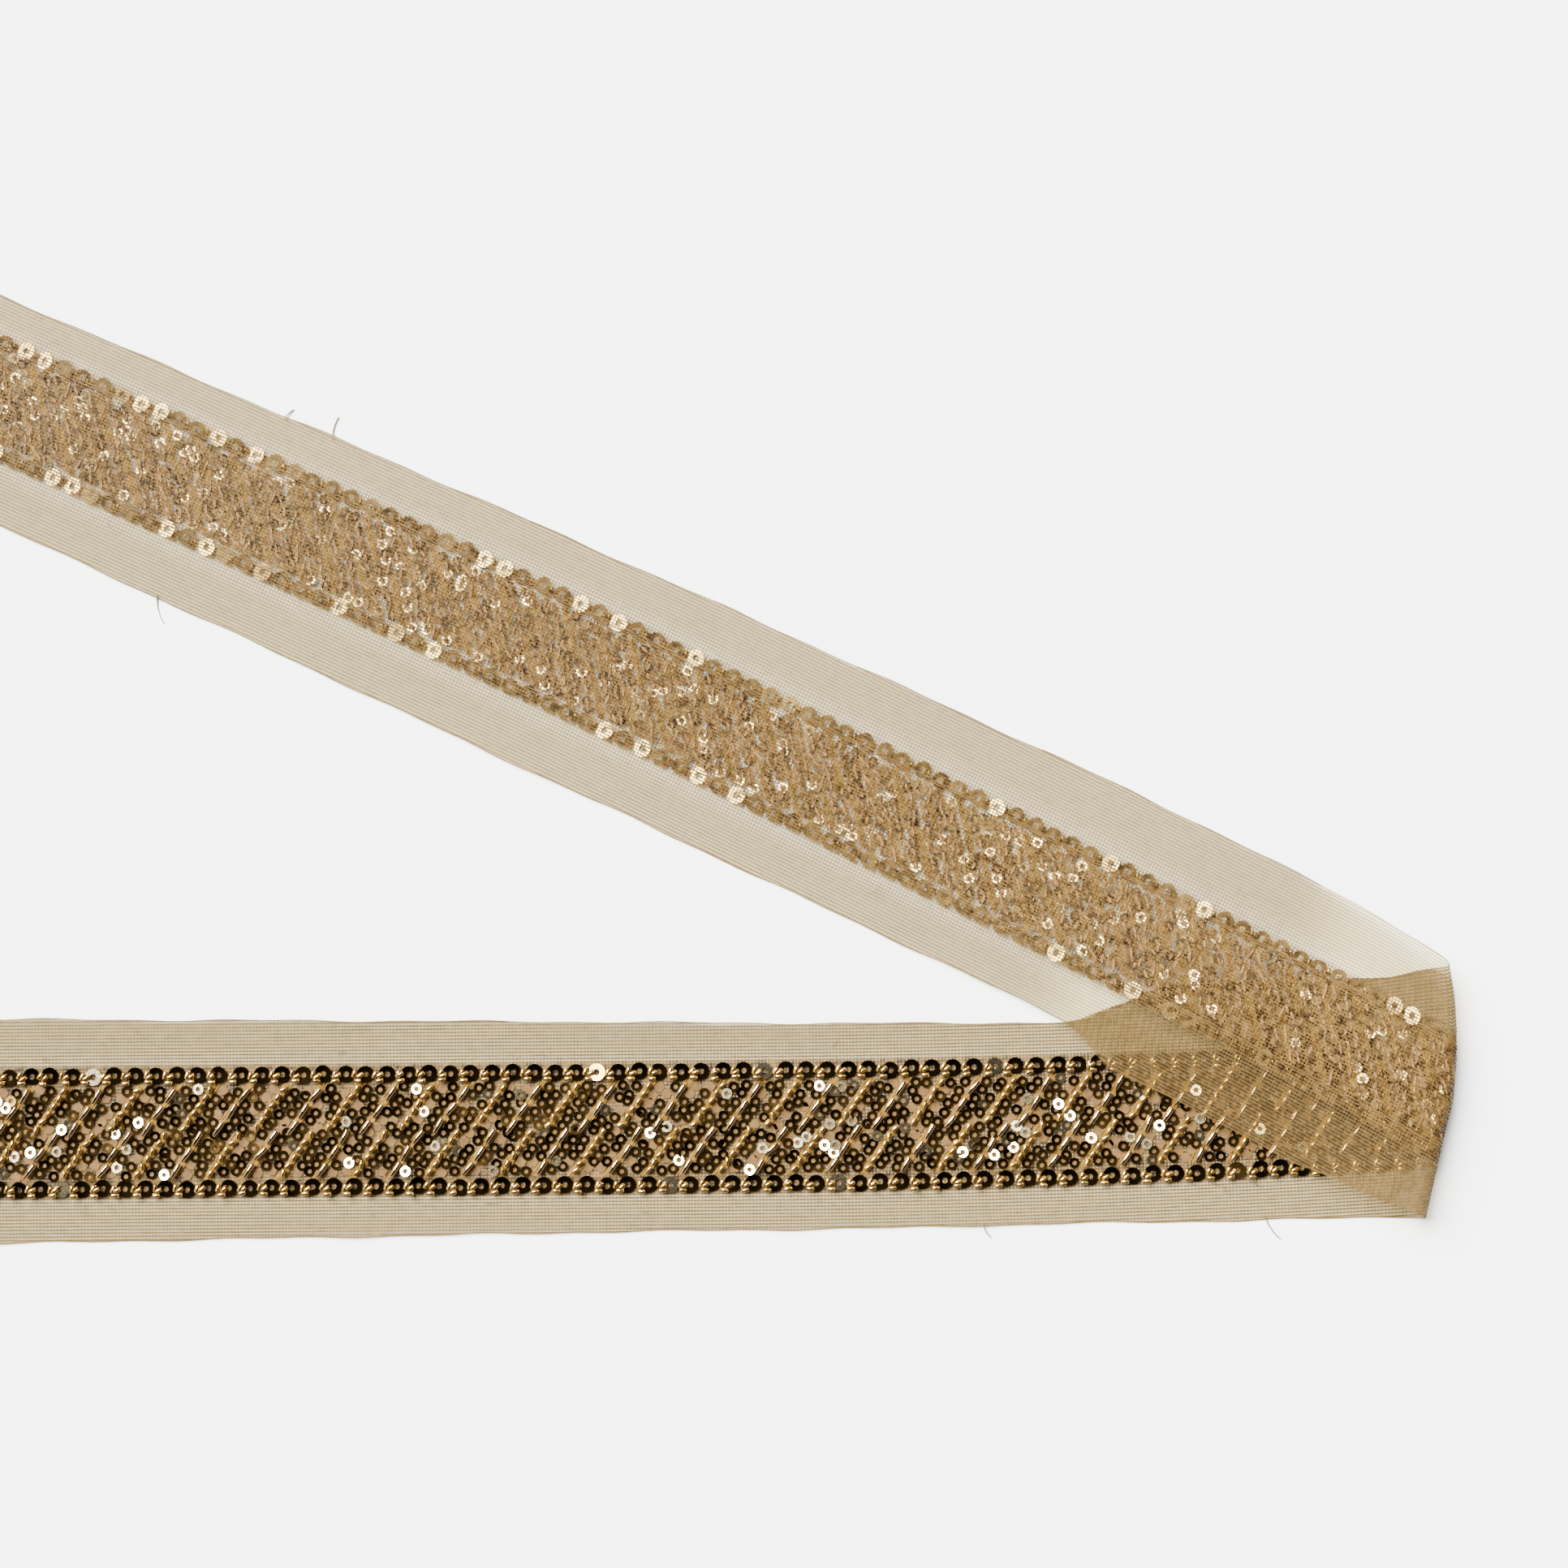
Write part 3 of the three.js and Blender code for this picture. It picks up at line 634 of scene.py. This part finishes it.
# Short beads: golden glass cut short. A line of them stands midway between the bugle lines, and three sit
# beside each large sequin and hold it, each turned its own way.
SEED_LENGTH, SEED_RADIUS, SEED_BORE = 2.2, 0.72, 0.3
HOLD_PLACES = ((-2.1, -1.9, 0.0), (-1.8, -0.35, 0.5), (-2.9, 0.1, 1.2))
seed, seed_faces = tube(SEED_LENGTH, SEED_RADIUS, SEED_BORE, 8, 0.2)
seed_spots = 2.25 * (np.arange(6) + 0.45)
seed_s, seed_t = slant_lines(REPEAT / 2, np.concatenate([-seed_spots[::-1], seed_spots]))
field_count = len(seed_s)
seed_turn = SLANT + chance.normal(0, 0.3, field_count)
foot_s, foot_t, foot_turn = [], [], []
for side, shift in ((1, 0.0), (-1, SOUTH_SHIFT)):
    for back_s, drop_t, angle in HOLD_PLACES:
        s = row_s + shift + back_s + chance.normal(0, 0.15, len(row_s))
        foot_s.append(s)
        foot_t.append(np.full(len(row_s), side * LARGE_ROW + drop_t) + chance.normal(0, 0.15, len(row_s)))
        foot_turn.append(angle + chance.normal(0, 0.12, len(row_s)))
seed_s = np.concatenate([seed_s, *foot_s])
seed_t = np.concatenate([seed_t, *foot_t])
seed_turn = np.concatenate([seed_turn, *foot_turn])
inside = (seed_s > LOWER_END + 2) & (seed_s < UPPER_END - 2)
seed_s, seed_t, seed_turn = seed_s[inside], seed_t[inside], seed_turn[inside]
count = len(seed_s)
seed_s = seed_s + chance.normal(0, 0.12, count)
points, faces = scatter(
    seed, seed_faces, seed_s, in_band(seed_s, seed_t), BEAD_DEPTH + chance.uniform(0, 0.25, count),
    seed_turn, chance.normal(0, 0.12, count), chance.normal(0, 0.12, count),
)
# Painted reflection: the same lengthwise dark and bright streaks, painted round each short bead.
painted_streaks = np.tile([1, 0.8, 0.05, 0.6, 1, 0.8, 0.05, 0.6], 6)
seeds = add_mesh(
    "short_beads", points, faces,
    {"tone": np.repeat(chance.random(count), len(seed_faces)), "painted_streak": np.tile(painted_streaks, count)},
    smooth=np.tile(np.repeat([0, 0, 1, 0, 0, 0], 8) > 0, count),
)
seed_finish, seed_shader, v = finish(
    "golden_glass", Metallic=0.85, Roughness=0.12, Coat_Weight=0.4, Coat_Roughness=0.03
)
tone = v.number("tone")
painted_streaked = v.number("painted_streak") * (tone * 0.5 + 0.5)
feed(seed_shader, Base_Color=painted_streaked.mix((0.05, 0.022, 0.003, 1), (0.56, 0.33, 0.05, 1)))
seeds.data.materials.append(seed_finish)
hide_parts("sequin_field")


# Carrying threads on the beaded side: five loose gold strands under each slanting line of beads, a knot of
# tan thread that fills the hole of each ring sequin from below, and a wider one where a sequin is left out
CARRY_WIDTH, CARRY_THICK, CARRY_DEPTH, CARRY_GAP = 0.42, 0.10, 0.53, 0.6
KNOT_RADIUS, WIDE_KNOT_RADIUS, KNOT_THICK, KNOT_DEPTH = 0.82, 1.6, 0.08, 0.50
carry_finish, carry_shader, v = finish("carrying_thread", Roughness=0.5, Specular_IOR_Level=0.2)
strand, gold = v.noise(500.0), v.number("gold")
tan = strand.mix((0.042, 0.021, 0.005, 1), (0.155, 0.087, 0.028, 1))
feed(
    carry_shader,
    Base_Color=gold.mix(tan, strand.mix((0.07, 0.032, 0.003, 1), (0.36, 0.20, 0.03, 1))),
    Metallic=gold * 0.35,
)
carry_t = np.linspace(0.3, 13.9, 9)
strand_offsets = [line + CARRY_GAP * apart for line in (0.0, REPEAT / 2) for apart in (-2, -1, 0, 1, 2)]
offset, side, start = np.meshgrid(strand_offsets, [1, -1], LINE_STARTS, indexing="ij")
across = side.reshape(-1, 1) * carry_t
place = (offset + start - np.where(side < 0, LINE_STEP, 0)).reshape(-1, 1) + across / np.tan(SLANT)
place = place + chance.normal(0, 0.16, place.shape)
inside = (place > LOWER_END + 1) & (place < UPPER_END - 1)
place = np.clip(place, LOWER_END + 1, UPPER_END - 1)
strand_points, strand_faces, _ = tape(
    place, in_band(place, across), CARRY_DEPTH, CARRY_WIDTH, 0.0, CARRY_THICK, FLAT_PROFILE,
    inside[:, 1:] & inside[:, :-1],
)
sixth = np.pi / 3 * np.arange(6)
hexagon = np.column_stack([np.cos(sixth), np.sin(sixth), np.zeros(6)])
i, j = np.arange(6), (np.arange(6) + 1) % 6
flats = [[3, 2, 1, 0], [5, 4, 3, 0], [6, 7, 8, 9], [6, 9, 10, 11]]
hexagon_faces = np.concatenate([flats, np.stack([i, j, j + 6, i + 6], 1)])
knots = []
for radius, there in ((KNOT_RADIUS, ~missing), (WIDE_KNOT_RADIUS, missing)):
    knot = np.concatenate([hexagon * radius, hexagon * radius + (0, 0, KNOT_THICK)])
    s, t, flat = ring_s[there], ring_t[there], np.zeros(there.sum())
    knots.append(scatter(knot, hexagon_faces, s, in_band(s, t), KNOT_DEPTH + flat, flat, flat, flat))
(narrow, narrow_faces), (wide, wide_faces) = knots
knot_points = np.concatenate([narrow, wide])
knot_faces = np.concatenate([narrow_faces, wide_faces + len(narrow)])
for name, points, faces, gold in (
    ("gold_strands", strand_points, strand_faces, 1),
    ("tan_knots", knot_points, knot_faces, 0),
):
    carriers = add_mesh(name, points, faces, {"gold": np.full(len(faces), gold)})
    carriers.data.materials.append(carry_finish)


# Stitches: a loop of tan thread on the wrong side behind each ring sequin and bugle bead, loose strands
# between them over the beaded side of the net, and two thin golden threads that waver along behind each
# border row
STITCH_THICK, STITCH_DEPTH, STRAY_DEPTH = 0.12, 0.06, 0.46
LOOP_WIDTH, STRAY_WIDTH, LINE_WIDTH, STRAY_EDGE = 0.16, 0.13, 0.17, 14
LINE_PLACES = np.array([[15.2], [14.6], [-14.6], [-15.2]])


def stitches(s, t, depth, length, turn, width, strands):
    """Each stitch is one or two strands that close at both ends, as four-cornered tapes: four places of u
    run along it, turned by its own angle, and each strand bows out of line to its own side."""
    u = np.array([-0.5, -0.2, 0.2, 0.5]) * length
    apart = np.array([0.03, 0.2, 0.2, 0.03])
    cosine, sine = np.cos(turn)[:, None], np.sin(turn)[:, None]
    places = np.concatenate([s[:, None] + cosine * u - sine * way * apart for way in strands])
    across = np.concatenate([t[:, None] + sine * u + cosine * way * apart for way in strands])
    sideways = [np.tile(part * width, (len(strands), 1)) for part in (-sine, cosine)]
    points, faces, _ = tape(places, across, depth, *sideways, STITCH_THICK, FLAT_PROFILE,
                            np.ones((len(places), 3), bool))
    return points, faces


loop_s = np.concatenate([ring_s, bugle_s])
loop_t = in_band(loop_s, np.concatenate([ring_t, bugle_t]))
loop_length = np.concatenate([chance.uniform(1.8, 3.0, len(ring_s)), np.full(len(bugle_s), 4.8)])[:, None]
loop_turn = SLANT + chance.normal(0, 0.36, len(loop_s))
loops = stitches(loop_s, loop_t, STITCH_DEPTH, loop_length, loop_turn, LOOP_WIDTH, (-1, 1))
repeats = np.where(ring_s > WRONG_SIDE_START, 2, 1)
stray_s = np.repeat(ring_s, repeats) + chance.normal(0, 0.9, repeats.sum())
stray_t = in_band(stray_s, np.repeat(ring_t, repeats) + chance.normal(0, 0.9, len(stray_s)))
stray_length = chance.uniform(1.6, 3.8, len(stray_s))[:, None]
stray_turn = SLANT + chance.normal(0.2, 0.8, len(stray_s))
stray_t = np.clip(stray_t, -STRAY_EDGE, STRAY_EDGE)
strays = stitches(stray_s, stray_t, STRAY_DEPTH, stray_length, stray_turn, STRAY_WIDTH, (1,))
line_s = np.tile(np.arange(LOWER_END + 3, UPPER_END - 3, 1.2), (4, 1))
line_t = LINE_PLACES + chance.normal(0, 0.16, line_s.shape)
line_points, line_faces, _ = tape(
    line_s, in_band(line_s, line_t), STITCH_DEPTH, 0.0, LINE_WIDTH, STITCH_THICK, FLAT_PROFILE,
    np.ones((4, line_s.shape[1] - 1), bool),
)
stitch_finish, stitch_shader, v = finish("tan_thread", Roughness=0.55, Specular_IOR_Level=0.15)
strand = v.noise(520.0)
pink = (strand * 3.4 - 1.2).mix((0.030, 0.014, 0.004, 1), (0.280, 0.156, 0.062, 1))
golden = strand.mix((0.047, 0.023, 0.005, 1), (0.165, 0.092, 0.026, 1))
feed(stitch_shader, Base_Color=v.number("gold").mix(pink, golden))
for name, points, faces, gold in (
    ("chain_stitches", *loops, np.zeros(len(loops[1]))),
    ("loose_strands", *strays, np.full(len(strays[1]), 0.35)),
    ("border_threads", line_points, line_faces, np.ones(len(line_faces))),
):
    threads = add_mesh(name, points, faces, {"gold": gold})
    threads.data.materials.append(stitch_finish)


# Loose thread ends and lint: tan ends that hang off the net's raw edges on to the table, and fine curled
# fibres lying on the margins
END_WIDTH, FIBRE_WIDTH, FIBRE_COUNT = 0.30, 0.12, 26


def curled(s, t, depth, length, turn, curl, width):
    """Fine threads, one from each place of the ribbon: each sets off at its own turn and bends by curl
    radians in all, in 12 steps along its length."""
    step = np.arange(13)
    way = turn[:, None] + curl[:, None] * step / 12
    ds = np.cumsum(np.cos(way), 1) - np.cos(way)
    dt = np.cumsum(np.sin(way), 1) - np.sin(way)
    places = s[:, None] + length[:, None] / 12 * ds
    across = t[:, None] + length[:, None] / 12 * dt
    return tape(places, across, depth[:, None], -np.sin(way) * width, np.cos(way) * width, width,
                FLAT_PROFILE, np.ones((len(s), 12), bool))[:2]


end_s = np.array([381.0, 409.0, 396.0, -56.0, -58.0, -140.0])
end_side = np.array([1, -1, 1, 1, -1, -1])
end_length = np.array([7.0, 9.0, 4.0, 10.0, 8.0, 5.0])
end_turn = end_side * np.array([1.2, 1.9, 1.5, 1.7, 1.3, 1.6])
end_curl = np.array([0.5, -0.7, 0.8, -0.5, 0.6, 1.0])
end_rim = np.where(end_side > 0, column(WIDTH, "s", "north", end_s), -column(WIDTH, "s", "south", end_s))
end_lines = curled(end_s, end_rim - end_side, np.full(6, 0.30), end_length, end_turn, end_curl, END_WIDTH)
fibre_side = np.where(chance.random(FIBRE_COUNT) < 0.5, -1, 1)
fibre_s = chance.uniform(LOWER_END + 12, UPPER_END - 12, FIBRE_COUNT)
fibre_depth = np.where(fibre_s > 0, 0.02, 0.48)
fibre_t = in_band(fibre_s, fibre_side * chance.uniform(20.5, 25.0, FIBRE_COUNT))
fibre_length = chance.uniform(2.0, 5.5, FIBRE_COUNT)
fibre_turn = chance.uniform(0, 6.28, FIBRE_COUNT)
fibre_curl = chance.normal(0, 3.0, FIBRE_COUNT)
fibre_lines = curled(fibre_s, fibre_t, fibre_depth, fibre_length, fibre_turn, fibre_curl, FIBRE_WIDTH)
lint_finish, lint_shader, v = finish("lint", Roughness=0.6)
feed(lint_shader, Base_Color=v.noise(400.0).mix((0.040, 0.022, 0.007, 1), (0.110, 0.068, 0.026, 1)))
for name, (points, faces) in (("loose_ends", end_lines), ("lint_fibres", fibre_lines)):
    lint = add_mesh(name, points, faces)
    lint.data.materials.append(lint_finish)


# The table is plain and pale. A dome of soft light, darker straight overhead as under a camera, and one
# bright soft patch of it towards the upper left light the trim.
PATCH_STRENGTH, DOME_STRENGTH, LEAST_STRENGTH = 60.0, 2.8, 0.08

table_mesh = bpy.data.meshes.new("table")
table_mesh.from_pydata([(-3, -3, 0), (3, -3, 0), (3, 3, 0), (-3, 3, 0)], [], [(0, 1, 2, 3)])
table = bpy.data.objects.new("table", table_mesh)
bpy.context.scene.collection.objects.link(table)
table_finish, table_shader, v = finish("pale_paper", Roughness=0.9, Specular_IOR_Level=0.1)
feed(table_shader, Base_Color=v.noise(12.0).mix((0.86, 0.86, 0.86, 1), (0.90, 0.90, 0.90, 1)))
table.data.materials.append(table_finish)

world = bpy.data.worlds.new("studio")
world.use_nodes = True
bpy.context.scene.world = world
room = Value(world.node_tree, None)
background = world.node_tree.nodes["Background"]
direction = room.node_output("ShaderNodeTexCoord", {}, "Generated")


def patch_of_sky(towards, near, far):
    """1 within the angle near of a direction, 0 beyond the angle far, and soft between them."""
    towards = np.array(towards) / np.linalg.norm(towards)
    product = {"operation": "DOT_PRODUCT"}
    dot = direction.node("ShaderNodeVectorMath", product, n0=direction, n1=tuple(towards))
    return dot.node("ShaderNodeMapRange", {"interpolation_type": "SMOOTHSTEP"}, Value=dot,
                    From_Min=float(np.cos(np.radians(far))), From_Max=float(np.cos(np.radians(near))))


softbox = patch_of_sky((-0.52, 0.55, 0.66), 19, 28)
dark_cap = patch_of_sky((0.16, -0.14, 1.0), 30, 75)
glow = softbox * PATCH_STRENGTH + (1.0 - dark_cap) * DOME_STRENGTH + LEAST_STRENGTH
background.inputs["Color"].default_value = (1.0, 0.985, 0.96, 1)
world.node_tree.links.new(glow.socket, background.inputs["Strength"])
